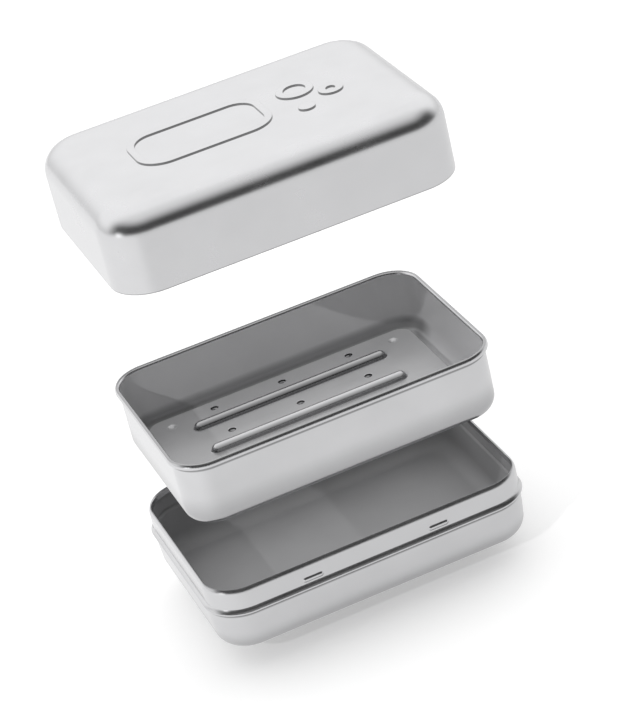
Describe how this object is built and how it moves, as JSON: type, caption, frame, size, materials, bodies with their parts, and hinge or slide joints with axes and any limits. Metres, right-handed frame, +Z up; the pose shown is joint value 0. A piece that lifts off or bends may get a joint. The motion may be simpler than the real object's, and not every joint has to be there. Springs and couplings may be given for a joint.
{
  "type": "soap box",
  "caption": "Pressed metal soap box: a rounded base with a rest bead, a ribbed drain tray that hangs in it and a lift-off lid.",
  "frame": {"origin": "centre of the base's flat underside, on the surface that the box stands on", "axes": "+X along the box's long side, +Y across it, +Z up, the way the tray and the lid lift"},
  "size_m": [0.1122, 0.0778, 0.1588],
  "materials": {
    "base metal": "satin",
    "tray metal": "satin",
    "lid metal": "satin"
  },
  "bodies": {
    "base": {"base": "base metal"},
    "drain_tray": {"drain_tray": "tray metal"},
    "lid": {"lid": "lid metal"}
  },
  "joints": [
    {"name": "tray_lift", "type": "slide", "parent": "base", "child": "drain_tray", "axis": [0, 0, 1], "range_m": [-0.045, 0]},
    {"name": "lid_lift", "type": "slide", "parent": "drain_tray", "child": "lid", "axis": [0, 0, 1], "range_m": [-0.07, 0]}
  ]
}
